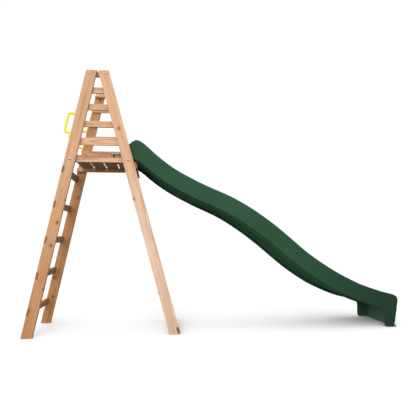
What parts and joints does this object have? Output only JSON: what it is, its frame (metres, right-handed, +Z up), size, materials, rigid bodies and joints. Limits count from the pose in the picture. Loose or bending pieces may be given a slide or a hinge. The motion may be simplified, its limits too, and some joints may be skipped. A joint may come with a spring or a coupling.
{
  "type": "wave slide",
  "caption": "Timber A-frame climbing stand with a ladder, a railed deck and a long green plastic slide whose bed runs down in waves.",
  "frame": {"origin": "on the ground and on the middle plane, halfway between the outer edge of the ladder's feet and the slide's nose", "axes": "+Z up, +X from the ladder towards the low end of the slide, +Y towards the left-hand side of a child climbing the ladder"},
  "size_m": [3.3394, 0.752, 2.28],
  "materials": {
    "frame_timber": "planed softwood, light honey stain, eased edges, satin",
    "cross_timber": "planed softwood, darker brown stain, satin",
    "green_moulding": "moulded plastic with a fine satin texture, slightly polished on the bed",
    "yellow_plastic": "smooth glossy moulded plastic",
    "zinc_hardware": "bright zinc plating, slightly dulled outdoors"
  },
  "bodies": {
    "root": {"ladder_leg_right": "frame_timber", "ladder_leg_left": "frame_timber", "slide_leg_right": "frame_timber", "slide_leg_left": "frame_timber", "apex_block_right": "frame_timber", "apex_block_left": "frame_timber", "guard_rail_right_1": "frame_timber", "guard_rail_right_2": "frame_timber", "guard_rail_right_3": "frame_timber", "guard_rail_right_4": "frame_timber", "guard_rail_left_1": "frame_timber", "guard_rail_left_2": "frame_timber", "guard_rail_left_3": "frame_timber", "guard_rail_left_4": "frame_timber", "deck_beam_right": "frame_timber", "deck_beam_left": "frame_timber", "deck_board_1": "frame_timber", "deck_board_2": "frame_timber", "deck_board_3": "frame_timber", "deck_board_4": "frame_timber", "rung_1": "cross_timber", "rung_2": "cross_timber", "rung_3": "cross_timber", "rung_4": "cross_timber", "rung_5": "cross_timber", "cross_batten": "cross_timber", "foot_brace": "cross_timber", "slide": "green_moulding", "grab_handle_right": "yellow_plastic", "grab_handle_left": "yellow_plastic", "handle_caps": "yellow_plastic", "apex_bolts": "zinc_hardware", "deck_bolts": "zinc_hardware", "washers": "zinc_hardware", "nuts": "zinc_hardware", "apex_screws": "zinc_hardware", "rail_screws": "zinc_hardware", "rung_screws": "zinc_hardware", "deck_screws": "zinc_hardware", "batten_screws": "zinc_hardware", "handle_screws": "zinc_hardware", "slide_screws": "zinc_hardware"}
  },
  "joints": []
}
